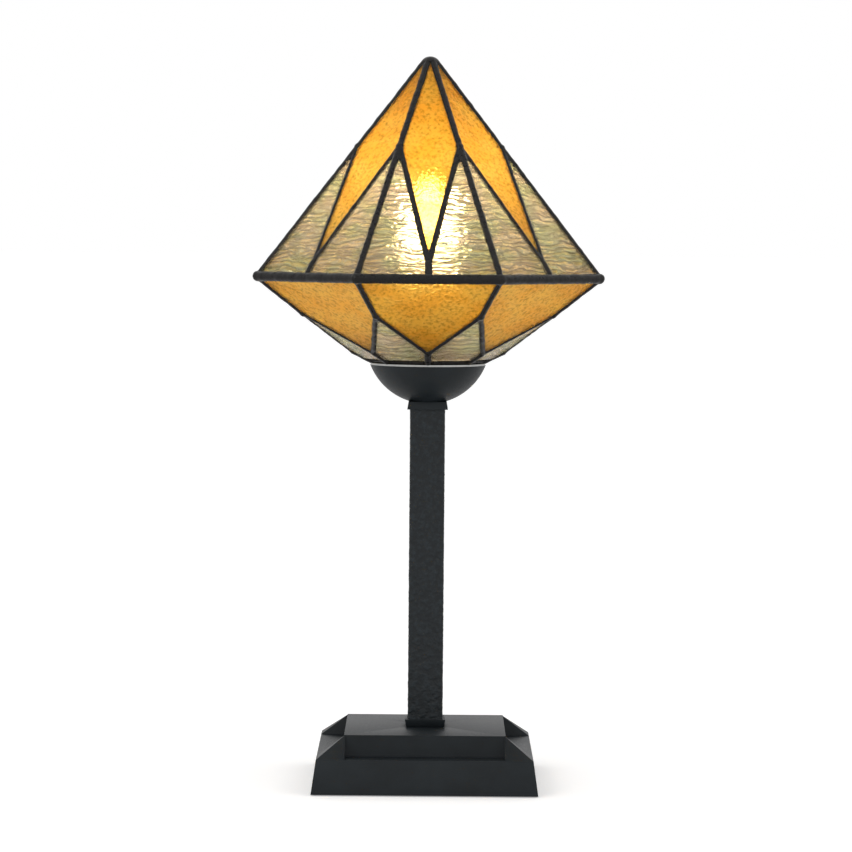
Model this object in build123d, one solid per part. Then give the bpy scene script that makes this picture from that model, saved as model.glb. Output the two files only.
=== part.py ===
from build123d import *

import os
from math import cos, hypot, pi, sin, tan

os.makedirs("parts", exist_ok=True)

# Stained-glass table uplight, in millimetres. +Z is up, -Y is the front, and the origin is the
# middle of the felt face that the lamp stands on.

# ---- driving dimensions ----
# Base: a square stepped casting with a sloping skirt, a ledge and a raised block.
BASE_HALF = 64.8  # half the width of the skirt at its foot
LEDGE_HALF = 62.0  # half the width of the ledge
BLOCK_HALF = 46.3  # half the width of the raised block
WEDGE_BITE = 0.6  # how far a corner wedge reaches into the raised block
LEDGE_Z = 20.0
BASE_TOP = 32.3
BASE_WALL = 5.0
FOOT_GAP = 0.4  # the casting's foot above the table
FELT_T = 1.2
COVER_T = 1.4
COVER_FIT = 0.3  # gap round the cover plate
BOSS_R = 4.5
BOSS_IN = 10.0  # from the pocket's side to a boss's axis
SCREW_R = 1.45
SCREW_HEAD_R = 2.9
SCREW_LENGTH = 9.0

# Cord bush in the rear wall.
CORD_BORE_R = 3.5
BUSH_R = 5.0
BUSH_FLANGE_R = 6.5
BUSH_FLANGE_T = 1.5
BUSH_Z = 11.0
SPOT_FIT = 0.3

# Post and its two square cups.
POST_HALF = 10.1
POST_WALL = 1.5
POST_CORNER_R = 1.2
POST_FIT = 0.05
CUP_FLOOR = 1.0
CUP_HEIGHT = 4.6
CUP_SEAT_HALF = 11.0
CUP_MOUTH_HALF = 11.8
POST_LENGTH = 187.7

# Threaded tube, nuts and washers that clamp the stand.
ROD_R = 5.0
ROD_BORE_R = 3.5
ROD_FIT = 0.1
ROD_BELOW_NUT = 2.0
NUT_AF = 14.0
NUT_H = 4.0
WASHER_R = 9.0
WASHER_T = 1.2

# Dish.
DISH_RIM_R = 33.6
DISH_FOOT_R = 11.2
DISH_DEPTH = 21.0
DISH_BULGE_R = 26.0  # outer radius at DISH_BULGE_UP above the foot
DISH_BULGE_UP = 9.2
DISH_WALL = 1.2

# Lampholder, E14.
HOLDER_R = 14.0
HOLDER_WALL = 1.6
ENTRY_H = 12.0
ENTRY_TOP_T = 3.0
HOLDER_H = 50.0
CERAMIC_T = 8.0
THREAD_R = 7.0  # inner radius of the thread shell
THREAD_WALL = 0.8
CERAMIC_WALL = 2.6
TONGUE_R = 2.0
TONGUE_H = 4.0

# Candle bulb, B35 with an E14 cap.
BULB_R = 17.5
BULB_LENGTH = 99.0  # from the centre contact to the tip
BULB_WALL = 0.8
CAP_R = 6.9
CAP_WALL = 0.4
CAP_H = 22.0
BUTTON_R = 2.4
BUTTON_H = 3.0
INSULATOR_DROP = 0.6
INSULATOR_H = 3.0
SPIN_FIT = 0.05

# Shade: an octagonal pyramid over a shallower inverted one, with flats to the front and sides.
GIRDLE_APOTHEM = 97.5
UPPER_RISE = 128.1  # from the girdle to the point where the ridges meet
LOWER_DROP = 51.4  # from the girdle to the dish's rim
RIM_APOTHEM = 33.7  # where a lower side's plane would meet the rim's height
KITE_SHARE = 0.579  # of a ridge, from the girdle up to the kite's side corner
KITE_TIP_UP = 0.063  # of the face's height, from the girdle up to the kite's lower corner
PENTAGON_SHARE = 0.409  # of a ridge, from the girdle down to the pentagon's side corner
PENTAGON_TIP = 0.836  # of the face's height, from the girdle down to the pentagon's tip
GLASS_T = 2.4
LEAD_T = 3.2
RIDGE_W = 3.0
SEAM_W = 2.5
GIRDLE_W = 5.1
STUB_W = 4.0
HEM_H = 2.6
TRUNCATE = 4.0  # from the point where the ridges meet down to the solder cap's seat
CAP_BLOB_R = 5.5
CAP_BLOB_H = 3.2

# Steel locating ring soldered under the hem: its flange rests on the dish's rim.
RING_T = 1.0
RING_SKIRT_R = 27.8
RING_INSET = 0.2  # from the dish's rim in to the flange's edge
RING_SKIRT_H = 6.0

SIDES = 8

# ---- derived heights ----
COVER_Z = FELT_T
COVER_TOP = COVER_Z + COVER_T
CUP_Z = BASE_TOP
POST_Z = CUP_Z + CUP_FLOOR
POST_TOP = POST_Z + POST_LENGTH
DISH_Z = POST_TOP + CUP_FLOOR
RIM_Z = DISH_Z + DISH_DEPTH
DISH_FLOOR = DISH_Z + DISH_WALL
HOLDER_Z = DISH_FLOOR + WASHER_T + NUT_H
ROOF_Z = BASE_TOP - BASE_WALL
LOWER_NUT_Z = ROOF_Z - WASHER_T - NUT_H
ROD_Z = LOWER_NUT_Z - ROD_BELOW_NUT
ROD_TOP = HOLDER_Z + ENTRY_H - ENTRY_TOP_T
CERAMIC_Z = HOLDER_Z + ENTRY_H
CONTACT_Z = CERAMIC_Z + CERAMIC_T + TONGUE_H
HEM_Z = RIM_Z + RING_T
GIRDLE_Z = RIM_Z + LOWER_DROP
APEX_Z = GIRDLE_Z + UPPER_RISE
CAP_SEAT_Z = APEX_Z - TRUNCATE


# ---- helpers ----
def cylinder(radius, low, high, x=0.0, y=0.0):
    return Pos(x, y, low) * extrude(Circle(radius), amount=high - low)


def ring(outer, inner, low, high):
    return cylinder(outer, low, high) - cylinder(inner, low - 1, high + 1)


def square_block(half, low, high):
    return Pos(0, 0, low) * extrude(Rectangle(2 * half, 2 * half), amount=high - low)


def polyhedron(faces):
    """A closed solid from flat faces, each a list of corners."""
    solid = Solid(Shell([Face(Wire.make_polygon(corners)) for corners in faces]))
    return solid if solid.volume > 0 else -solid


def frustum(bottom, top):
    """A solid between two polygons with as many corners, both anticlockwise from above."""
    count = len(bottom)
    sides = [
        [bottom[i], bottom[(i + 1) % count], top[(i + 1) % count], top[i]]
        for i in range(count)
    ]
    return polyhedron([bottom[::-1], top] + sides)


def square(half, z):
    return [(half, half, z), (-half, half, z), (-half, -half, z), (half, -half, z)]


def octagon(apothem, z, turned=False):
    """An octagon with a flat to the front, or with a corner to the front if turned."""
    radius = apothem / cos(pi / SIDES)
    start = 0 if turned else pi / SIDES
    angles = [start + 2 * pi * i / SIDES for i in range(SIDES)]
    return [(radius * cos(a), radius * sin(a), z) for a in angles]


def revolved(points):
    """Turns a closed outline of (radius, z) corners about Z."""
    face = Face(Wire.make_polygon([(r, 0, z) for r, z in points]))
    return revolve(face, Axis.Z)


def hex_nut(low):
    nut = extrude(RegularPolygon(NUT_AF / 2, 6, major_radius=False), amount=NUT_H)
    return Pos(0, 0, low) * nut - cylinder(ROD_R, low - 1, low + NUT_H + 1)


# ---- base ----
def skirt_half(z):
    share = (z - FOOT_GAP) / (LEDGE_Z - FOOT_GAP)
    return BASE_HALF + (LEDGE_HALF - BASE_HALF) * share


POCKET_HALF = LEDGE_HALF - BASE_WALL
BOSS_AT = POCKET_HALF - BOSS_IN
BOSSES = [(sx * BOSS_AT, sy * BOSS_AT) for sx in (-1, 1) for sy in (-1, 1)]
SPOT_Y = skirt_half(BUSH_Z + BUSH_FLANGE_R + SPOT_FIT)


def corner_wedge(sx, sy):
    """A quarter-hip that fills the ledge's corner, highest at the block's corner."""
    inner, outer = BLOCK_HALF - WEDGE_BITE, LEDGE_HALF
    foot = [
        (sx * inner, sy * inner, LEDGE_Z),
        (sx * outer, sy * inner, LEDGE_Z),
        (sx * outer, sy * outer, LEDGE_Z),
        (sx * inner, sy * outer, LEDGE_Z),
    ]
    peak = (sx * inner, sy * inner, BASE_TOP)
    faces = [foot] + [[foot[i], foot[(i + 1) % 4], peak] for i in range(4)]
    # The two faces through the peak's own foot are upright triangles.
    return polyhedron(faces)


def base_casting():
    body = frustum(square(BASE_HALF, FOOT_GAP), square(LEDGE_HALF, LEDGE_Z))
    body += square_block(BLOCK_HALF, LEDGE_Z, BASE_TOP)
    for sx in (-1, 1):
        for sy in (-1, 1):
            body += corner_wedge(sx, sy)
    body -= square_block(POCKET_HALF, 0, LEDGE_Z - BASE_WALL)
    body -= square_block(BLOCK_HALF - BASE_WALL, LEDGE_Z - BASE_WALL - 1, ROOF_Z)
    for x, y in BOSSES:
        body += cylinder(BOSS_R, COVER_TOP, LEDGE_Z - BASE_WALL, x, y)
        body -= cylinder(SCREW_R, 0, COVER_TOP + SCREW_LENGTH, x, y)
    body -= cylinder(ROD_R + ROD_FIT, ROOF_Z - 1, BASE_TOP + 1)
    body -= along_y(BUSH_R, 0, BASE_HALF + 1)
    body -= along_y(BUSH_FLANGE_R + SPOT_FIT, SPOT_Y, BASE_HALF + 1)
    return body


def along_y(radius, start, end):
    """A cylinder along +Y at the cord bush's height."""
    plane = Plane(origin=(0, start, BUSH_Z), z_dir=(0, 1, 0))
    return extrude(plane * Circle(radius), amount=end - start)


def base_cover():
    half = POCKET_HALF - COVER_FIT
    plate = square_block(half, COVER_Z, COVER_TOP)
    for x, y in BOSSES:
        plate -= Pos(x, y, 0) * countersink()
    return plate


def countersink():
    """The space of a countersunk screw in the cover."""
    return revolved(
        [
            (0, COVER_Z),
            (SCREW_HEAD_R, COVER_Z),
            (SCREW_R, COVER_TOP),
            (0, COVER_TOP),
        ]
    )


def cover_screws():
    shank = cylinder(SCREW_R, COVER_TOP, COVER_TOP + SCREW_LENGTH)
    screw = countersink() + shank
    return Compound([Pos(x, y, 0) * screw for x, y in BOSSES])


def felt_sheet():
    return square_block(POCKET_HALF - 2 * COVER_FIT, 0, FELT_T)


def cord_bush():
    barrel = along_y(BUSH_R, POCKET_HALF - 1, SPOT_Y)
    flange = along_y(BUSH_FLANGE_R, SPOT_Y, SPOT_Y + BUSH_FLANGE_T)
    return barrel + flange - along_y(CORD_BORE_R, 0, BASE_HALF + 1)


# ---- post, cups and clamp ----
def cup():
    """A square cup with its floor at z = 0 and its mouth up."""
    body = frustum(square(CUP_SEAT_HALF, 0), square(CUP_MOUTH_HALF, CUP_HEIGHT))
    body -= square_block(POST_HALF + POST_FIT, CUP_FLOOR, CUP_HEIGHT + 1)
    return body - cylinder(ROD_R + ROD_FIT, -1, CUP_FLOOR + 1)


def post_tube():
    outer = RectangleRounded(2 * POST_HALF, 2 * POST_HALF, POST_CORNER_R)
    inner_half = POST_HALF - POST_WALL
    tube = extrude(outer - Rectangle(2 * inner_half, 2 * inner_half), amount=POST_LENGTH)
    return Pos(0, 0, POST_Z) * tube


# ---- dish ----
def dish():
    def outline(shrink):
        wall = ThreePointArc(
            (DISH_FOOT_R - shrink * 0.3, 0, DISH_Z + shrink),
            (DISH_BULGE_R - shrink * 0.75, 0, DISH_Z + DISH_BULGE_UP + shrink * 0.66),
            (DISH_RIM_R - shrink, 0, RIM_Z),
        )
        low = DISH_Z + shrink
        start, end = wall @ 0, wall @ 1
        close = Polyline(end, (0, 0, RIM_Z), (0, 0, low), start)
        return revolve(make_face([wall, close]), Axis.Z)

    return outline(0) - outline(DISH_WALL) - cylinder(ROD_R + ROD_FIT, DISH_Z - 1, RIM_Z)


# ---- lampholder ----
def holder_entry():
    top = HOLDER_Z + ENTRY_H
    slope = 4.0
    inner = HOLDER_R - HOLDER_WALL
    body = revolved(
        [
            (0, HOLDER_Z),
            (HOLDER_R - slope, HOLDER_Z),
            (HOLDER_R, HOLDER_Z + slope),
            (HOLDER_R, top),
            (inner, top),
            (inner, HOLDER_Z + slope),
            (ROD_R + 2 * HOLDER_WALL, HOLDER_Z + slope),
            (ROD_R + 2 * HOLDER_WALL, ROD_TOP),
            (0, ROD_TOP),
        ]
    )
    return body - cylinder(ROD_R, HOLDER_Z - 1, top + 1)


def holder_shell():
    return ring(HOLDER_R, HOLDER_R - HOLDER_WALL, CERAMIC_Z, HOLDER_Z + HOLDER_H)


def ceramic_insert():
    floor = cylinder(HOLDER_R - HOLDER_WALL, CERAMIC_Z, CERAMIC_Z + CERAMIC_T)
    outer = THREAD_R + THREAD_WALL
    wall_top = HOLDER_Z + HOLDER_H - 2
    return floor + ring(outer + CERAMIC_WALL, outer, CERAMIC_Z + CERAMIC_T, wall_top)


def thread_shell():
    low = CERAMIC_Z + CERAMIC_T
    return ring(THREAD_R + THREAD_WALL, THREAD_R, low, HOLDER_Z + HOLDER_H - 2)


def centre_tongue():
    return cylinder(TONGUE_R, CERAMIC_Z + CERAMIC_T, CONTACT_Z)


# ---- bulb ----
INSULATOR_Z = CONTACT_Z + INSULATOR_DROP
CAP_Z = INSULATOR_Z + INSULATOR_H / 2
CAP_TOP = CAP_Z + CAP_H
BULB_TIP = CONTACT_Z + BULB_LENGTH
NECK_R = CAP_R - CAP_WALL


def bulb_button():
    return cylinder(BUTTON_R, CONTACT_Z, CONTACT_Z + BUTTON_H)


def bulb_insulator():
    return ring(NECK_R, BUTTON_R + SPIN_FIT, INSULATOR_Z, INSULATOR_Z + INSULATOR_H)


def bulb_cap():
    return ring(CAP_R, NECK_R, CAP_Z, CAP_TOP)


def bulb_envelope(shrink):
    """The candle shape, as a solid, with its outline drawn in by shrink."""
    neck_low = CAP_TOP - CAP_H / 2 + shrink
    height = BULB_TIP - CAP_TOP
    belly_z = CAP_TOP + 0.42 * height
    outline = Spline(
        (NECK_R - shrink, 0, CAP_TOP),
        (BULB_R - shrink, 0, belly_z),
        (0, 0, BULB_TIP - shrink),
    )
    rest = Polyline(outline @ 1, (0, 0, neck_low), (NECK_R - shrink, 0, neck_low), outline @ 0)
    return revolve(make_face([outline, rest]), Axis.Z)


def bulb_glass():
    return bulb_envelope(0) - bulb_envelope(BULB_WALL)


# ---- shade ----
class Face3:
    """One flat side of the shade, with its own axes: across, down the slope, and outwards."""

    def __init__(self, index, edge_a, edge_b, z_a, z_b):
        turn = 2 * pi * index / SIDES - pi / 2
        out = Vector(cos(turn), sin(turn), 0)
        self.across = Vector(-sin(turn), cos(turn), 0)
        start = out * edge_a + Vector(0, 0, z_a)
        end = out * edge_b + Vector(0, 0, z_b)
        self.origin = start
        self.length = (end - start).length
        self.along = (end - start).normalized()
        self.normal = self.across.cross(self.along)
        if self.normal.dot(out) < 0:
            self.normal = self.normal * -1
        self.half_a = edge_a * tan(pi / SIDES)
        self.half_b = edge_b * tan(pi / SIDES)

    def half(self, v):
        return self.half_a + (self.half_b - self.half_a) * v / self.length

    def place(self, u, v):
        return self.origin + self.across * u + self.along * v

    def prism(self, outline, thickness):
        face = Face(Wire.make_polygon([self.place(u, v) for u, v in outline]))
        return extrude(face, amount=thickness / 2, dir=tuple(self.normal), both=True)


def inset(corners, margins):
    """Moves each edge of a convex anticlockwise outline inwards by its own margin."""
    lines = []
    for i, (x0, y0) in enumerate(corners):
        x1, y1 = corners[(i + 1) % len(corners)]
        length = hypot(x1 - x0, y1 - y0)
        nx, ny = -(y1 - y0) / length, (x1 - x0) / length
        lines.append((nx, ny, nx * x0 + ny * y0 + margins[i]))
    moved = []
    for i in range(len(corners)):
        a1, b1, c1 = lines[i - 1]
        a2, b2, c2 = lines[i]
        det = a1 * b2 - a2 * b1
        moved.append(((c1 * b2 - c2 * b1) / det, (a1 * c2 - a2 * c1) / det))
    return moved


def mirrored(corners):
    return [(-u, v) for u, v in reversed(corners)]


RIDGE, SEAM, GIRDLE, STUB = RIDGE_W / 2, SEAM_W / 2, GIRDLE_W / 2, STUB_W / 2


def upper_panes(side):
    """The kite and the two clear outlines of an upper side; v runs up from the girdle."""
    top = side.length
    wide = KITE_SHARE * top
    tip = KITE_TIP_UP * top
    half, wide_half = side.half(0), side.half(wide)
    kite = inset(
        [(0, tip), (wide_half, wide), (0, top), (-wide_half, wide)],
        [SEAM, RIDGE, RIDGE, SEAM],
    )
    clear = inset(
        [(0, 0), (half, 0), (wide_half, wide), (0, tip)],
        [GIRDLE, RIDGE, SEAM, STUB],
    )
    return kite, [clear, mirrored(clear)]


def pentagon_pane(side):
    """The pentagon of a lower side; v runs down from the girdle."""
    wide = PENTAGON_SHARE * side.length
    tip = PENTAGON_TIP * side.length
    half, wide_half = side.half(0), side.half(wide)
    return inset(
        [(-half, 0), (half, 0), (wide_half, wide), (0, tip), (-wide_half, wide)],
        [GIRDLE, RIDGE, SEAM, SEAM, RIDGE],
    )


def lower_apothem(z):
    """The middle of a lower side's glass at a height."""
    return RIM_APOTHEM + (GIRDLE_APOTHEM - RIM_APOTHEM) * (z - RIM_Z) / LOWER_DROP


# A clear corner pane hangs from a pentagon's side corner and spans to the tips on both sides.
CORNER_Z = GIRDLE_Z - PENTAGON_SHARE * LOWER_DROP
CORNER_R = lower_apothem(CORNER_Z) / cos(pi / SIDES)
TIP_Z = GIRDLE_Z - PENTAGON_TIP * LOWER_DROP
TIP_R = lower_apothem(TIP_Z)
TIP_OUT = TIP_R * cos(pi / SIDES)
CLEAR_LEAN = (CORNER_R - TIP_OUT) / (CORNER_Z - TIP_Z)


def corner_apothem(z):
    """The middle of a corner pane's glass at a height."""
    return TIP_OUT + CLEAR_LEAN * (z - TIP_Z)


def corner_pane(side):
    """The clear pane across a lower ridge; v runs down from the pentagons' side corner."""
    drop = CORNER_Z - HEM_Z
    tip_v = side.length * (CORNER_Z - TIP_Z) / drop
    tip_u = TIP_R * sin(pi / SIDES)
    hem_u = corner_apothem(HEM_Z) * tan(pi / SIDES)
    # The pane's foot is cut square to the glass, so its outer corner dips below its middle.
    dip = GLASS_T / 2 * (CORNER_R - corner_apothem(HEM_Z)) / side.length
    hem = (HEM_H + dip) * side.length / drop
    end = side.length
    return inset(
        [(0, 0), (tip_u, tip_v), (hem_u, end), (-hem_u, end), (-tip_u, tip_v)],
        [SEAM, STUB, hem, STUB, SEAM],
    )


def grow(lean):
    """How far a wall's surface moves out level when it moves out square by half LEAD_T."""
    return LEAD_T / 2 * hypot(1, lean)


UPPER_GROW = grow(GIRDLE_APOTHEM / UPPER_RISE)
LOWER_GROW = grow((GIRDLE_APOTHEM - RIM_APOTHEM) / LOWER_DROP)
CORNER_GROW = grow(CLEAR_LEAN)


def upper_apothem(z):
    return GIRDLE_APOTHEM * (APEX_Z - z) / UPPER_RISE


def pyramid(apothem, move, low, high, turned=False):
    bottom = octagon(apothem(low) + move, low, turned)
    return frustum(bottom, octagon(apothem(high) + move, high, turned))


def upper_shell():
    outer = pyramid(upper_apothem, UPPER_GROW, GIRDLE_Z, CAP_SEAT_Z)
    return outer - pyramid(upper_apothem, -UPPER_GROW, GIRDLE_Z - 0.5, CAP_SEAT_Z + 0.5)


def lower_shell(low, high):
    """The wall of eight sides whose corners the clear panes cut off."""

    def solid(sign, margin):
        bottom, top = low - margin, high + margin
        sides = pyramid(lower_apothem, sign * LOWER_GROW, bottom, top)
        return sides & pyramid(corner_apothem, sign * CORNER_GROW, bottom, top, turned=True)

    return solid(1, 0) - solid(-1, 0.5)


def shade_nodes():
    nodes = {}
    upper = upper_shell()
    lower = lower_shell(HEM_Z + HEM_H, GIRDLE_Z)
    window_t = LEAD_T * 1.4
    for index in range(SIDES):
        number = index + 1
        high = Face3(index, GIRDLE_APOTHEM, 0, GIRDLE_Z, APEX_Z)
        kite, clears = upper_panes(high)
        nodes[f"upper_amber_pane_{number}"] = high.prism(kite, GLASS_T)
        panes = [high.prism(outline, GLASS_T) for outline in clears]
        nodes[f"upper_clear_panes_{number}"] = Compound(panes)
        for outline in [kite] + clears:
            upper -= high.prism(outline, window_t)

        low = Face3(index, GIRDLE_APOTHEM, RIM_APOTHEM, GIRDLE_Z, RIM_Z)
        pentagon = pentagon_pane(low)
        nodes[f"lower_amber_pane_{number}"] = low.prism(pentagon, GLASS_T)
        lower -= low.prism(pentagon, window_t)

        ridge = Face3(index + 0.5, CORNER_R, corner_apothem(HEM_Z), CORNER_Z, HEM_Z)
        corner = corner_pane(ridge)
        nodes[f"lower_clear_pane_{number}"] = ridge.prism(corner, GLASS_T)
        lower -= ridge.prism(corner, window_t)
    nodes["upper_leading"] = upper
    nodes["lower_leading"] = lower
    nodes["hem_frame"] = lower_shell(HEM_Z, HEM_Z + HEM_H)
    return nodes


def apex_cap():
    """The dome of solder over the point where the ridges meet."""
    radius = (CAP_BLOB_R**2 + CAP_BLOB_H**2) / (2 * CAP_BLOB_H)
    top = CAP_SEAT_Z + CAP_BLOB_H
    ball = Pos(0, 0, top - radius) * Sphere(radius)
    return ball & cylinder(radius, CAP_SEAT_Z, top + 1)


def locating_ring():
    inner = RING_SKIRT_R - RING_T
    flange = ring(DISH_RIM_R - RING_INSET, inner, RIM_Z, HEM_Z)
    return flange + ring(RING_SKIRT_R, inner, RIM_Z - RING_SKIRT_H, RIM_Z)


# ---- everything, written out ----
def all_nodes():
    lower_cup = Pos(0, 0, CUP_Z) * cup()
    upper_cup = Pos(0, 0, DISH_Z) * Rot(180, 0, 0) * cup()
    rod = ring(ROD_R, ROD_BORE_R, ROD_Z, ROD_TOP)
    nodes = {
        "base_casting": base_casting(),
        "base_cover": base_cover(),
        "felt_sheet": felt_sheet(),
        "cover_screws": cover_screws(),
        "cord_bush": cord_bush(),
        "lower_nut": hex_nut(LOWER_NUT_Z),
        "lower_washer": ring(WASHER_R, ROD_R + ROD_FIT, ROOF_Z - WASHER_T, ROOF_Z),
        "lower_cup": lower_cup,
        "post_tube": post_tube(),
        "threaded_rod": rod,
        "upper_cup": upper_cup,
        "dish": dish(),
        "dish_washer": ring(WASHER_R, ROD_R + ROD_FIT, DISH_FLOOR, DISH_FLOOR + WASHER_T),
        "dish_nut": hex_nut(DISH_FLOOR + WASHER_T),
        "holder_entry": holder_entry(),
        "holder_shell": holder_shell(),
        "ceramic_insert": ceramic_insert(),
        "thread_shell": thread_shell(),
        "centre_tongue": centre_tongue(),
        "bulb_button": bulb_button(),
        "bulb_insulator": bulb_insulator(),
        "bulb_cap": bulb_cap(),
        "bulb_glass": bulb_glass(),
        "apex_cap": apex_cap(),
        "locating_ring": locating_ring(),
    }
    nodes.update(shade_nodes())
    return nodes


for name, shape in all_nodes().items():
    export_step(shape, f"parts/{name}.step")
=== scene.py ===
import math

import bpy
from bpy.props import FloatProperty, FloatVectorProperty, PointerProperty
from mathutils import Matrix, Vector


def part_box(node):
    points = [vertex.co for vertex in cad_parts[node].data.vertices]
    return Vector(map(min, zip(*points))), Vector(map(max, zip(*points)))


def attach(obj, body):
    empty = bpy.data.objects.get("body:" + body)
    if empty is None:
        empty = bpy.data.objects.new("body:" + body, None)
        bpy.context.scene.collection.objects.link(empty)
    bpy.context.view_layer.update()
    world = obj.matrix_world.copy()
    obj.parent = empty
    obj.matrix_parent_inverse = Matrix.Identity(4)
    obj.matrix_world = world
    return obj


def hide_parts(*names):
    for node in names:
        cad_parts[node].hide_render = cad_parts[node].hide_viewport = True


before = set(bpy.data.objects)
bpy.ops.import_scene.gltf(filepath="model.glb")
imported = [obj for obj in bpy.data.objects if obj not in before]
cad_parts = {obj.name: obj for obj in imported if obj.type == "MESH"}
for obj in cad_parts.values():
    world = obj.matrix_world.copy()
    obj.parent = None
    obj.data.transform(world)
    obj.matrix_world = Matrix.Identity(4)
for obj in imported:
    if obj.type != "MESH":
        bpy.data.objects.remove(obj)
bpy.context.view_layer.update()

bl_info = {
    "name": "Stained glass table uplight",
    "version": (1, 0, 0),
    "blender": (4, 5, 0),
    "location": "View3D > Sidebar > Uplight",
    "description": "Finishes the leaded glass shade, the dish, the post and the base",
    "category": "Object",
}

MM = 0.001
SIDES = 8
ALL_SIDES = range(1, SIDES + 1)

NOISE_ROUGHNESS = 0.55
TONE_RANGE = (0.3, 0.7)  # where most of a noise's values lie
MERGE_DISTANCE = 0.01 * MM
FLAT_ANGLE = math.radians(0.5)  # faces that turn less than this are one face
BEVEL_ANGLE = math.radians(20)
BEVEL_SMOOTH, ROUGH_SMOOTH = math.radians(35), math.radians(50)
GLASS_CELL, CAP_CELL, POST_CELL = 1.25 * MM, 1.2 * MM, 1.1 * MM
MOST_CUTS = 90
POST_CUTS = 8  # upright cuts on each side of the post's middle
SOLDER_RELIEF = 0.5 * MM
# The radius of a blob where seams meet, as a share of a seam's width
BLOB_SHARE = {"upper": 0.62, "tip": 0.5, "girdle": 0.54, "lower": 0.6, "hem": 0.55}
FLOOR_GAP = 0.2 * MM
LAMP_AIM = Vector((0, 0, 0.25))


# ---- colours ----
def linear(code):
    """An sRGB hex colour as linear red, green and blue."""
    parts = [int(code[i : i + 2], 16) / 255 for i in (0, 2, 4)]
    return tuple(p / 12.92 if p <= 0.04045 else ((p + 0.055) / 1.055) ** 2.4 for p in parts)


def colour(name, description, code):
    return FloatVectorProperty(
        name=name, description=description, subtype="COLOR", default=linear(code), min=0, max=1
    )


def length(name, description, millimetres):
    return FloatProperty(
        name=name, description=description, unit="LENGTH", default=millimetres * MM, min=0
    )


class ShadeSettings(bpy.types.PropertyGroup):
    """Sizes and colours of the leaded shade."""

    ridge_width: length("Ridge seam", "Width of the solder over a ridge", 4.1)
    seam_width: length("Pane seam", "Width of the solder between panes of a side", 3.6)
    girdle_width: length("Girdle seam", "Height of the solder round the widest part", 5.8)
    stub_width: length("Stub seam", "Width of the short seams at the pane tips", 4.5)
    hem_width: length("Hem seam", "Width of the solder round the bottom edge", 3.6)
    voxel: length("Solder detail", "Voxel that the solder is fused at", 0.62)
    ripple: length("Ripple", "Depth of the ripples in the clear glass", 0.32)
    hammer: length("Hammering", "Depth of the dimples in the amber glass", 0.26)
    amber: colour("Amber", "Amber cathedral glass", "FEE084")
    deep_amber: colour("Deep amber", "Thicker streaks of the amber glass", "FBD26C")
    clear: colour("Clear", "Rippled clear glass", "FFF6EC")
    green_clear: colour("Green tint", "Greenish streaks of the clear glass", "F0F6DE")
    solder: colour("Solder", "Black-patinated solder", "0F0D0C")


class StandSettings(bpy.types.PropertyGroup):
    """Sizes and colours of the metal stand."""

    edge: length("Edge", "Rounding of the casting's edges", 0.7)
    pitting: length("Pitting", "Depth of the pits in the post", 0.6)
    black: colour("Black", "Satin black finish", "13181B")
    grain: length("Grain", "Grain of the cast finish", 0.7)


class BulbSettings(bpy.types.PropertyGroup):
    """The lit bulb."""

    warm: colour("Warm white", "Colour of the bulb's light", "FFE3AE")
    strength: FloatProperty(
        name="Strength", description="Brightness of the glass", default=22.0, min=0
    )


# ---- small helpers ----
def settings(name):
    return getattr(bpy.context.scene, name)


def deselect():
    if bpy.context.object and bpy.context.object.mode != "OBJECT":
        bpy.ops.object.mode_set(mode="OBJECT")
    bpy.ops.object.select_all(action="DESELECT")


def select_only(obj):
    deselect()
    obj.select_set(True)
    bpy.context.view_layer.objects.active = obj


def new_material(name):
    material = bpy.data.materials.new(name)
    material.use_nodes = True
    material.node_tree.nodes.clear()
    return material


def add(material, kind, values=None, links=None, stops=(), **attributes):
    """Adds a shader node, sets its attributes, values and ramp stops, and links its inputs."""
    node = material.node_tree.nodes.new(kind)
    for key, value in attributes.items():
        setattr(node, key, value)
    for key, value in (values or {}).items():
        node.inputs[key].default_value = value
    for stop, (position, tone) in enumerate(stops):
        node.color_ramp.elements[stop].position = position
        node.color_ramp.elements[stop].color = (*tone, 1)
    for key, socket in (links or {}).items():
        material.node_tree.links.new(socket, node.inputs[key])
    return node


def finish_with(material, shader):
    add(material, "ShaderNodeOutputMaterial", links={"Surface": shader.outputs[0]})
    return material


def times(tone, factor):
    return tuple(part * factor for part in tone)


# ---- materials ----
def grained(name, grain, cloud, stops, rough, relief, metallic=0.0, specular=0.5):
    """A finish whose grain raises it and varies its roughness, and whose cloud varies its tone.
    grain and cloud hold a feature's size in metres and a detail, relief a depth and a strength."""
    material = new_material(name)
    place = add(material, "ShaderNodeTexCoord").outputs["Object"]
    fine, broad = (
        add(
            material,
            "ShaderNodeTexNoise",
            {"Scale": 1 / size, "Detail": detail, "Roughness": NOISE_ROUGHNESS},
            {"Vector": place},
        ).outputs["Fac"]
        for size, detail in (grain, cloud)
    )
    tone = add(material, "ShaderNodeValToRGB", links={"Fac": broad}, stops=stops)
    polish = add(
        material,
        "ShaderNodeMapRange",
        {
            "From Min": TONE_RANGE[0],
            "From Max": TONE_RANGE[1],
            "To Min": rough[0],
            "To Max": rough[1],
        },
        {"Value": fine},
    )
    depth, strength = relief
    normal = add(
        material, "ShaderNodeBump", {"Strength": strength, "Distance": depth}, {"Height": fine}
    )
    shader = add(
        material,
        "ShaderNodeBsdfPrincipled",
        {"Metallic": metallic, "Specular IOR Level": specular},
        {
            "Base Color": tone.outputs[0],
            "Roughness": polish.outputs[0],
            "Normal": normal.outputs[0],
        },
    )
    return finish_with(material, shader)


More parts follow.
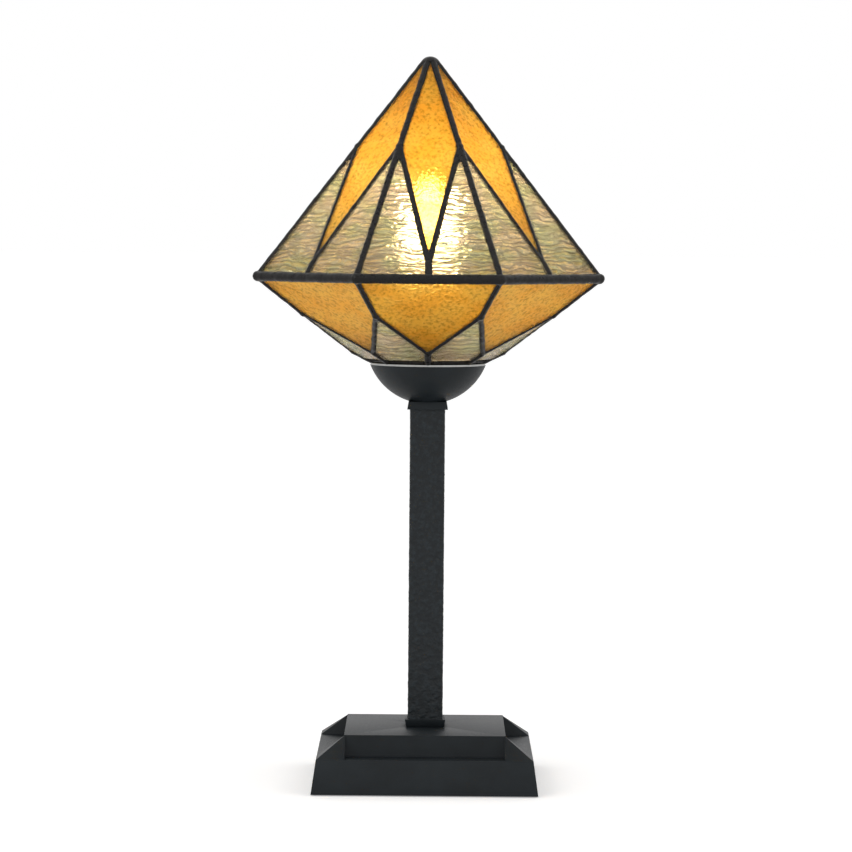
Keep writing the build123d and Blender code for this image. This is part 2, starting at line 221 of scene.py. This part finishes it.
def painted_casting():
    """Satin black stove enamel over a sand casting: its fine grain scatters the highlights."""
    look = settings("lamp_stand")
    tones = (look.black, times(look.black, 1.5))
    return grained(
        "painted_casting",
        grain=(look.grain, 4.0),
        cloud=(18 * MM, 2.0),
        stops=tuple(zip(TONE_RANGE, tones)),
        rough=(0.36, 0.56),
        relief=(0.12 * MM, 0.7),
        specular=0.22,
    )


def pitted_paint():
    """The same black over a coarse hammered tube, with painted shade in its pits and a painted
    highlight on their rims.
    """
    look = settings("lamp_stand")
    pits = (2.2 * MM, 5.0)
    return grained(
        "pitted_paint",
        grain=pits,
        cloud=pits,
        # Painted shade and highlight: the tone follows the pits, darker in them and lighter on
        # their rims.
        stops=((0.45, look.black), (0.8, times(look.black, 3.0))),
        rough=(0.32, 0.55),
        relief=(0.9 * MM, 1.0),
        specular=0.28,
    )


def patinated_solder():
    """Tin-lead solder blackened with copper sulphate: smooth, glossy beads with warm worn spots."""
    look = settings("lamp_shade")
    lumps = (3 * MM, 3.0)
    return grained(
        "patinated_solder",
        grain=lumps,
        cloud=lumps,
        stops=((0.5, look.solder), (0.8, times(look.solder, 2.6))),
        rough=(0.22, 0.42),
        relief=(0.25 * MM, 0.6),
        metallic=0.2,
        specular=0.3,
    )


def plain(name, code, roughness, metallic=0.0, size_mm=3.0):
    """A solid colour that a fine noise varies in tone and roughness."""
    base, grain = linear(code), (size_mm * MM, 3.0)
    return grained(
        name,
        grain=grain,
        cloud=grain,
        stops=tuple(zip(TONE_RANGE, (times(base, 0.8), base))),
        rough=(roughness * 0.85, min(1, roughness * 1.15)),
        relief=(0.05 * MM, 0.5),
        metallic=metallic,
    )


def lit_glass(name, tints, relief, painted_shade_level, depth, share, rough):
    """Textured glass: it blurs what is behind it, scatters part of the bulb's light and shines.
    Its colour is painted darker in the hollows of its relief, as painted shade. relief gives the
    height of its face, painted_shade_level is how bright that painted shade is and share is how
    much of the light it scatters."""
    material = new_material(name)
    height = relief(material)
    normal = add(material, "ShaderNodeBump", {"Distance": depth}, {"Height": height}).outputs[0]
    place = add(material, "ShaderNodeTexCoord").outputs["Object"]
    long_way = add(material, "ShaderNodeMapping", {"Scale": (0.6, 0.6, 1.0)}, {"Vector": place})
    streaks = add(
        material,
        "ShaderNodeTexNoise",
        {"Scale": 1 / (11 * MM), "Detail": 2.0, "Roughness": NOISE_ROUGHNESS},
        {"Vector": long_way.outputs[0]},
    ).outputs["Fac"]
    tint = add(
        material,
        "ShaderNodeValToRGB",
        links={"Fac": streaks},
        stops=((0.4, tints[0]), (0.6, tints[1])),
    )
    # Painted shade: the glass colour is darker in the hollows of its relief.
    painted_hollow_shade = add(
        material,
        "ShaderNodeValToRGB",
        links={"Fac": height},
        stops=((0.25, (painted_shade_level,) * 3), (0.55, (1, 1, 1))),
    )
    shade = add(
        material,
        "ShaderNodeMix",
        {0: 1.0},
        {6: tint.outputs[0], 7: painted_hollow_shade.outputs[0]},
        data_type="RGBA",
        blend_type="MULTIPLY",
    ).outputs[2]
    through = add(
        material,
        "ShaderNodeBsdfPrincipled",
        {"Transmission Weight": 1.0, "IOR": 1.25, "Roughness": rough},
        {"Base Color": shade, "Normal": normal},
    )
    scatter = add(material, "ShaderNodeBsdfTranslucent", links={"Color": shade, "Normal": normal})
    seen = add(
        material,
        "ShaderNodeMixShader",
        {"Fac": share},
        {1: through.outputs[0], 2: scatter.outputs[0]},
    )
    # Light reaches the inside of the shade and the lampholder through the panes.
    open_pane = add(material, "ShaderNodeBsdfTransparent", links={"Color": shade})
    path = add(material, "ShaderNodeLightPath")
    mixed = add(
        material,
        "ShaderNodeMixShader",
        links={
            "Fac": path.outputs["Is Shadow Ray"],
            1: seen.outputs[0],
            2: open_pane.outputs[0],
        },
    )
    return finish_with(material, mixed)


def amber_cathedral_glass():
    """Rolled amber cathedral glass with a hammered face: close dimples about 2 mm across."""

    def dimples(material):
        place = add(material, "ShaderNodeTexCoord").outputs["Object"]
        return add(
            material,
            "ShaderNodeTexNoise",
            {"Scale": 1 / (2 * MM), "Detail": 1.5, "Roughness": NOISE_ROUGHNESS},
            {"Vector": place},
        ).outputs["Fac"]

    look = settings("lamp_shade")
    return lit_glass(
        "amber_cathedral_glass",
        tints=(look.amber, look.deep_amber),
        relief=dimples,
        # Painted shade darkens the hollows of the dimples.
        painted_shade_level=0.45,
        depth=0.9 * MM,
        share=0.35,
        rough=0.3,
    )


def clear_water_glass():
    """Clear rolled water glass: wavering level ripples about 2.6 mm apart."""
    spacing = 2.6 * MM

    def ripples(material):
        place = add(material, "ShaderNodeTexCoord").outputs["Object"]
        level = add(
            material, "ShaderNodeMapping", {"Scale": (0.45, 0.45, 1.0)}, {"Vector": place}
        )
        # A band repeats every 2 pi / 20 units of the wave's scaled coordinates.
        return add(
            material,
            "ShaderNodeTexWave",
            {
                "Scale": 2 * math.pi / 20 / spacing,
                "Distortion": 11.0,
                "Detail": 2.0,
                "Detail Scale": 1.3,
            },
            {"Vector": level.outputs[0]},
            wave_type="BANDS",
            bands_direction="Z",
        ).outputs["Fac"]

    look = settings("lamp_shade")
    return lit_glass(
        "clear_water_glass",
        tints=(look.clear, look.green_clear),
        relief=ripples,
        # Painted shade darkens the hollows of the ripples.
        painted_shade_level=0.62,
        depth=0.7 * MM,
        share=0.25,
        rough=0.22,
    )


def frosted_lit_glass():
    """An acid-frosted bulb that is lit: it glows most round its filament and least at its neck."""
    look = settings("lamp_bulb")
    material = new_material("frosted_lit_glass")
    low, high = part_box("bulb_glass")
    filament = (low[2] + 2 * high[2]) / 3
    dim_below = 24 * MM
    place = add(material, "ShaderNodeTexCoord")
    level = add(material, "ShaderNodeSeparateXYZ", links={"Vector": place.outputs["Object"]})
    glow = add(
        material,
        "ShaderNodeMapRange",
        {"From Min": filament - dim_below, "From Max": filament, "To Min": 0.02, "To Max": 1.0},
        {"Value": level.outputs["Z"]},
    )
    strength = add(
        material,
        "ShaderNodeMath",
        {1: look.strength},
        {0: glow.outputs[0]},
        operation="MULTIPLY",
    )
    shader = add(
        material,
        "ShaderNodeBsdfPrincipled",
        {
            "Base Color": (*look.warm, 1),
            "Roughness": 0.5,
            "Emission Color": (*look.warm, 1),
        },
        {"Emission Strength": strength.outputs[0]},
    )
    return finish_with(material, shader)


def paint(name, material):
    """Gives a CAD node its material."""
    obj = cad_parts[name]
    obj.data.materials.clear()
    obj.data.materials.append(material)
    return obj


# ---- modelling ----
def copied(node, name):
    """A merged copy of a CAD node's mesh, with its flat faces whole."""
    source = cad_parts[node]
    piece = bpy.data.objects.new(name, source.data.copy())
    bpy.context.scene.collection.objects.link(piece)
    piece.data.materials.clear()
    select_only(piece)
    if piece.data.has_custom_normals:
        bpy.ops.mesh.customdata_custom_splitnormals_clear()
    bpy.ops.object.mode_set(mode="EDIT")
    bpy.ops.mesh.select_all(action="SELECT")
    bpy.ops.mesh.remove_doubles(threshold=MERGE_DISTANCE)
    bpy.ops.mesh.dissolve_limited(angle_limit=FLAT_ANGLE)
    bpy.ops.object.mode_set(mode="OBJECT")
    return piece


def place_in(piece, node, body, material):
    """Gives a finished piece its material, hangs it on the body it rides on and hides the node it
    stands for.
    """
    piece.data.materials.clear()
    piece.data.materials.append(material)
    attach(piece, body)
    if node:
        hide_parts(node)


def bevelled(piece, width, segments=3):
    select_only(piece)
    modifier = piece.modifiers.new("edges", "BEVEL")
    modifier.width = width
    modifier.segments = segments
    modifier.limit_method = "ANGLE"
    modifier.angle_limit = BEVEL_ANGLE
    modifier.use_clamp_overlap = True
    bpy.ops.object.modifier_apply(modifier="edges")
    bpy.ops.object.shade_smooth_by_angle(angle=BEVEL_SMOOTH)


def cut_fine(piece, cell):
    """Cuts a piece into triangles, and each of their sides into as many parts as there are cells
    along the piece. Short sides are cut into as many parts as long ones."""
    select_only(piece)
    bpy.ops.object.mode_set(mode="EDIT")
    bpy.ops.mesh.select_all(action="SELECT")
    bpy.ops.mesh.quads_convert_to_tris()
    cuts = max(1, int(max(piece.dimensions) / cell))
    bpy.ops.mesh.subdivide(number_cuts=min(cuts, MOST_CUTS))
    bpy.ops.object.mode_set(mode="OBJECT")


def roughened(piece, texture, depth):
    """Moves the surface in and out by up to half of depth, as the texture says."""
    select_only(piece)
    modifier = piece.modifiers.new("surface", "DISPLACE")
    modifier.texture = texture
    modifier.texture_coords = "LOCAL"
    modifier.strength = depth
    modifier.mid_level = 0.5
    bpy.ops.object.modifier_apply(modifier="surface")
    bpy.ops.object.shade_smooth_by_angle(angle=ROUGH_SMOOTH)


def cloud_texture(name, size_mm):
    texture = bpy.data.textures.new(name, "CLOUDS")
    texture.noise_scale = size_mm * MM
    texture.noise_depth = 1
    return texture


def bead(start, end, width):
    """A round bar of solder from start to end."""
    middle, way = (start + end) / 2, end - start
    turn = Vector((0, 0, 1)).rotation_difference(way)
    bpy.ops.mesh.primitive_cylinder_add(
        vertices=12,
        radius=width / 2,
        depth=way.length,
        location=middle,
        rotation=turn.to_euler(),
    )
    return bpy.context.object


def blob(place, radius):
    """A round drop of solder, where seams meet."""
    bpy.ops.mesh.primitive_uv_sphere_add(segments=14, ring_count=8, radius=radius, location=place)
    return bpy.context.object


def fused(parts, name, voxel, texture):
    """Joins beads into one smooth run of solder, a little uneven as solder sets."""
    deselect()
    for part in parts:
        part.select_set(True)
    bpy.context.view_layer.objects.active = parts[0]
    bpy.ops.object.join()
    piece = bpy.context.object
    piece.name = name
    bpy.ops.object.transform_apply(location=True, rotation=True, scale=True)
    remesh = piece.modifiers.new("fuse", "REMESH")
    remesh.mode = "VOXEL"
    remesh.voxel_size = voxel
    bpy.ops.object.modifier_apply(modifier="fuse")
    smooth = piece.modifiers.new("flow", "SMOOTH")
    smooth.iterations = 3
    bpy.ops.object.modifier_apply(modifier="flow")
    roughened(piece, texture, SOLDER_RELIEF)
    bpy.ops.object.shade_smooth()
    return piece


# ---- the shade's seam lines, from the frame ----
class Seams:
    """The corners that the seams run between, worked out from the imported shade."""

    kite_share, kite_tip = 0.579, 0.063
    pentagon_share, pentagon_tip = 0.409, 0.836
    girdle_apothem, rim_apothem = 97.5 * MM, 33.7 * MM
    hem_apothem = 29.0 * MM
    hem_rise, apex_rise = 1.2 * MM, 4.0 * MM
    ridge_end, stub_foot = 0.975, 0.005

    def __init__(self):
        self.girdle_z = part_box("upper_leading")[0][2]
        self.rim_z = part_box("dish")[1][2]
        self.hem_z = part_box("hem_frame")[0][2] + self.hem_rise
        self.apex_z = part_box("apex_cap")[0][2] + self.apex_rise

    def corner(self, index, apothem, z):
        angle = 2 * math.pi * (index + 0.5) / SIDES - math.pi / 2
        radius = apothem / math.cos(math.pi / SIDES)
        return Vector((radius * math.cos(angle), radius * math.sin(angle), z))

    def upper(self, share):
        apothem = self.girdle_apothem * (1 - share)
        return apothem, self.girdle_z + share * (self.apex_z - self.girdle_z)

    def lower(self, share):
        apothem = self.girdle_apothem + share * (self.rim_apothem - self.girdle_apothem)
        return apothem, self.girdle_z + share * (self.rim_z - self.girdle_z)

    def hem(self, index):
        """The hem's corner on a side's middle line: the hem is turned against the girdle."""
        return self.middle(index, (self.hem_apothem / math.cos(math.pi / SIDES), self.hem_z))

    def middle(self, index, level):
        apothem, z = level
        angle = 2 * math.pi * index / SIDES - math.pi / 2
        return Vector((apothem * math.cos(angle), apothem * math.sin(angle), z))


class LAMP_OT_stage(bpy.types.Operator):
    """Set up the camera, the floor, the world and the lamps"""

    bl_idname = "lamp.stage"
    bl_label = "Stage"

    def execute(self, context):
        self.add_camera()
        self.add_world()
        self.add_floor()
        self.add_lamp("key", place=(-1.2, -1.5, 1.6), size=1.3, power=9.0)
        self.add_lamp("fill", place=(1.5, -0.9, 1.0), size=1.4, power=3.0)
        context.scene.view_settings.view_transform = "Standard"
        return {"FINISHED"}

    def add_camera(self):
        data = bpy.data.cameras.new("camera")
        data.lens = 159.9
        data.clip_end = 50
        camera = bpy.data.objects.new("camera", data)
        bpy.context.scene.collection.objects.link(camera)
        place = (0.002, -2.2, 0.3291)
        pitch, yaw, roll = 0.0553, 0.0013, 0.0081
        camera.matrix_world = (
            Matrix.Translation(place)
            @ Matrix.Rotation(yaw, 4, "Z")
            @ Matrix.Rotation(math.pi / 2 - pitch, 4, "X")
            @ Matrix.Rotation(roll, 4, "Z")
        )
        bpy.context.scene.camera = camera

    def add_world(self):
        world = bpy.data.worlds.new("studio")
        world.use_nodes = True
        bpy.context.scene.world = world
        world.node_tree.nodes.clear()
        # The world is white to the camera and in metal and glass, and a little dimmer as a light.
        path = add(world, "ShaderNodeLightPath")
        seen = add(
            world,
            "ShaderNodeMath",
            links={0: path.outputs["Is Camera Ray"], 1: path.outputs["Is Transmission Ray"]},
            operation="MAXIMUM",
        )
        shown = add(
            world,
            "ShaderNodeMath",
            links={0: seen.outputs[0], 1: path.outputs["Is Glossy Ray"]},
            operation="MAXIMUM",
        )
        level = add(
            world,
            "ShaderNodeMapRange",
            {"To Min": 0.8, "To Max": 1.0},
            {"Value": shown.outputs[0]},
        )
        light = add(
            world,
            "ShaderNodeBackground",
            {"Color": (1, 1, 1, 1)},
            {"Strength": level.outputs[0]},
        )
        add(world, "ShaderNodeOutputWorld", links={"Surface": light.outputs[0]})

    def add_floor(self):
        deselect()
        bpy.ops.mesh.primitive_plane_add(size=60, location=(0, 0, -FLOOR_GAP))
        floor = bpy.context.object
        floor.name = "floor"
        material = new_material("white_paper")
        place = add(material, "ShaderNodeTexCoord").outputs["Object"]
        cloud = add(
            material,
            "ShaderNodeTexNoise",
            {"Scale": 1 / (400 * MM), "Detail": 1.0, "Roughness": NOISE_ROUGHNESS},
            {"Vector": place},
        )
        tone = add(
            material,
            "ShaderNodeValToRGB",
            links={"Fac": cloud.outputs["Fac"]},
            stops=tuple(zip(TONE_RANGE, ((0.94,) * 3, (0.96,) * 3))),
        )
        shader = add(
            material,
            "ShaderNodeBsdfPrincipled",
            {"Roughness": 0.9, "Specular IOR Level": 0.0},
            {"Base Color": tone.outputs[0]},
        )
        # Only the camera sees the floor lifted to white.
        path = add(material, "ShaderNodeLightPath")
        brightness = add(
            material,
            "ShaderNodeMapRange",
            {"To Min": 0.0, "To Max": 0.25},
            {"Value": path.outputs["Is Camera Ray"]},
        )
        lift = add(
            material,
            "ShaderNodeEmission",
            {"Color": (1, 1, 1, 1)},
            {"Strength": brightness.outputs[0]},
        )
        both = add(
            material, "ShaderNodeAddShader", links={0: shader.outputs[0], 1: lift.outputs[0]}
        )
        finish_with(material, both)
        floor.data.materials.append(material)

    def add_lamp(self, name, place, size, power):
        data = bpy.data.lights.new(name, "AREA")
        data.energy = power
        data.size = size
        lamp = bpy.data.objects.new(name, data)
        bpy.context.scene.collection.objects.link(lamp)
        lamp.location = place
        aim = LAMP_AIM - Vector(place)
        lamp.rotation_euler = aim.to_track_quat("-Z", "Y").to_euler()
        lamp.visible_camera = False


class LAMP_OT_stand(bpy.types.Operator):
    """Make the base casting, the post, its cups and the dish"""

    bl_idname = "lamp.stand"
    bl_label = "Stand"

    def execute(self, context):
        look = settings("lamp_stand")
        cast, pitted = painted_casting(), pitted_paint()
        for node, slot in (
            ("base_casting", "black_iron"),
            ("lower_cup", "black_metal"),
            ("upper_cup", "black_metal"),
        ):
            piece = copied(node, f"{node}_finished")
            width = look.edge if node == "base_casting" else look.edge / 2
            bevelled(piece, width)
            place_in(piece, node, "stand", cast)
        dish = paint("dish", cast)
        dish.data.shade_smooth()
        self.make_post(look, pitted)
        return {"FINISHED"}

    def make_post(self, look, material):
        post = copied("post_tube", "post_finished")
        low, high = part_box("post_tube")
        bpy.ops.object.mode_set(mode="EDIT")
        level = low[2] + POST_CELL
        while level < high[2]:
            bpy.ops.mesh.select_all(action="SELECT")
            bpy.ops.mesh.bisect(plane_co=(0, 0, level), plane_no=(0, 0, 1))
            level += POST_CELL
        for axis in ((1, 0, 0), (0, 1, 0)):
            for i in range(-POST_CUTS, POST_CUTS + 1):
                bpy.ops.mesh.select_all(action="SELECT")
                place = Vector(axis) * i * POST_CELL
                bpy.ops.mesh.bisect(plane_co=place, plane_no=axis)
        bpy.ops.object.mode_set(mode="OBJECT")
        roughened(post, cloud_texture("pits", 2.4), look.pitting)
        place_in(post, "post_tube", "stand", material)


class LAMP_OT_glass(bpy.types.Operator):
    """Make the hammered amber panes and the rippled clear panes"""

    bl_idname = "lamp.glass"
    bl_label = "Glass"

    def execute(self, context):
        look = settings("lamp_shade")
        amber, clear = amber_cathedral_glass(), clear_water_glass()
        dimples = cloud_texture("dimples", 2.6)
        ripples = cloud_texture("ripples", 3.4)
        for index in ALL_SIDES:
            for node in (f"upper_amber_pane_{index}", f"lower_amber_pane_{index}"):
                self.make_pane(node, "amber_glass", amber, dimples, look.hammer)
            for node in (f"upper_clear_panes_{index}", f"lower_clear_pane_{index}"):
                self.make_pane(node, "clear_glass", clear, ripples, look.ripple)
        return {"FINISHED"}

    def make_pane(self, node, slot, material, texture, depth):
        piece = copied(node, f"{node}_textured")
        cut_fine(piece, GLASS_CELL)
        roughened(piece, texture, depth)
        place_in(piece, node, "shade", material)


class LAMP_OT_leading(bpy.types.Operator):
    """Solder the seams between the panes"""

    bl_idname = "lamp.leading"
    bl_label = "Leading"

    def execute(self, context):
        look = settings("lamp_shade")
        seams = Seams()
        solder = patinated_solder()
        lumps = cloud_texture("solder_lumps", 5.5)
        upper = fused(self.upper_beads(seams, look), "upper_solder", look.voxel, lumps)
        place_in(upper, "upper_leading", "shade", solder)
        lower = fused(self.lower_beads(seams, look), "lower_solder", look.voxel, lumps)
        place_in(lower, "lower_leading", "shade", solder)
        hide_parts("hem_frame")
        cap = copied("apex_cap", "apex_solder")
        cut_fine(cap, CAP_CELL)
        roughened(cap, lumps, SOLDER_RELIEF)
        place_in(cap, "apex_cap", "shade", solder)
        return {"FINISHED"}

    def upper_beads(self, seams, look):
        deselect()
        parts = []
        wide = seams.upper(seams.kite_share)
        top = seams.upper(seams.ridge_end)
        for i in range(SIDES):
            base = seams.corner(i, seams.girdle_apothem, seams.girdle_z)
            side = seams.corner(i, *wide)
            parts.append(bead(base, side, look.ridge_width))
            parts.append(bead(side, seams.corner(i, *top), look.ridge_width))
            tip = seams.middle(i, seams.upper(seams.kite_tip))
            parts.append(bead(seams.corner(i, *wide), tip, look.seam_width))
            parts.append(bead(seams.corner(i - 1, *wide), tip, look.seam_width))
            foot = seams.middle(i, seams.upper(seams.stub_foot))
            parts.append(bead(tip, foot, look.stub_width))
            parts.append(blob(side, look.ridge_width * BLOB_SHARE["upper"]))
            parts.append(blob(tip, look.stub_width * BLOB_SHARE["tip"]))
        return parts

    def lower_beads(self, seams, look):
        deselect()
        parts = []
        wide = seams.lower(seams.pentagon_share)
        for i in range(SIDES):
            base = seams.corner(i, seams.girdle_apothem, seams.girdle_z)
            after = seams.corner(i + 1, seams.girdle_apothem, seams.girdle_z)
            side = seams.corner(i, *wide)
            parts.append(bead(base, after, look.girdle_width))
            parts.append(blob(base, look.girdle_width * BLOB_SHARE["girdle"]))
            parts.append(bead(base, side, look.ridge_width))
            tip = seams.middle(i, seams.lower(seams.pentagon_tip))
            parts.append(bead(side, tip, look.seam_width))
            parts.append(bead(seams.corner(i - 1, *wide), tip, look.seam_width))
            parts.append(bead(tip, seams.hem(i), look.stub_width))
            parts.append(bead(seams.hem(i), seams.hem(i + 1), look.hem_width))
            parts.append(blob(side, look.ridge_width * BLOB_SHARE["lower"]))
            parts.append(blob(seams.hem(i), look.hem_width * BLOB_SHARE["hem"]))
        return parts


class LAMP_OT_fittings(bpy.types.Operator):
    """Finish the bulb, the lampholder and the hidden fittings"""

    bl_idname = "lamp.fittings"
    bl_label = "Fittings"

    def execute(self, context):
        bakelite = plain("bakelite", "17130F", 0.35)
        steel = plain("zinc_plated_steel", "B5B6B4", 0.35, 1.0)
        brass = plain("turned_brass", "C9A24E", 0.3, 1.0)
        looks = {
            "base_cover": steel,
            "felt_sheet": plain("wool_felt", "20422B", 0.95, size_mm=0.8),
            "cover_screws": steel,
            "cord_bush": bakelite,
            "lower_nut": steel,
            "lower_washer": steel,
            "threaded_rod": steel,
            "dish_washer": steel,
            "dish_nut": steel,
            "holder_entry": bakelite,
            "holder_shell": bakelite,
            "ceramic_insert": plain("steatite", "E4DFD2", 0.6),
            "thread_shell": brass,
            "centre_tongue": brass,
            "bulb_button": brass,
            "bulb_insulator": plain("vitrite", "15110F", 0.15),
            "bulb_cap": plain("nickel_plate", "C8C6C0", 0.25, 1.0),
            "bulb_glass": frosted_lit_glass(),
            "locating_ring": steel,
        }
        for node, material in looks.items():
            paint(node, material)
        return {"FINISHED"}


class LAMP_PT_panel(bpy.types.Panel):
    """Lists the lamp's pieces and settings"""

    bl_idname = "LAMP_PT_panel"
    bl_label = "Stained glass uplight"
    bl_space_type = "VIEW_3D"
    bl_region_type = "UI"
    bl_category = "Uplight"

    def draw(self, context):
        for operator in OPERATORS:
            self.layout.operator(operator.bl_idname)
        for name in SETTINGS:
            group = getattr(context.scene, name)
            for key in group.__annotations__:
                self.layout.prop(group, key)


OPERATORS = (LAMP_OT_stage, LAMP_OT_stand, LAMP_OT_glass, LAMP_OT_leading, LAMP_OT_fittings)
SETTINGS = {"lamp_shade": ShadeSettings, "lamp_stand": StandSettings, "lamp_bulb": BulbSettings}


def register():
    for cls in (*SETTINGS.values(), *OPERATORS, LAMP_PT_panel):
        bpy.utils.register_class(cls)
    for name, group in SETTINGS.items():
        setattr(bpy.types.Scene, name, PointerProperty(type=group))


def unregister():
    for name in SETTINGS:
        delattr(bpy.types.Scene, name)
    for cls in (LAMP_PT_panel, *reversed(OPERATORS), *SETTINGS.values()):
        bpy.utils.unregister_class(cls)


def main():
    register()
    bpy.ops.lamp.stage()
    bpy.ops.lamp.stand()
    bpy.ops.lamp.glass()
    bpy.ops.lamp.leading()
    bpy.ops.lamp.fittings()


if __name__ == "__main__":
    main()
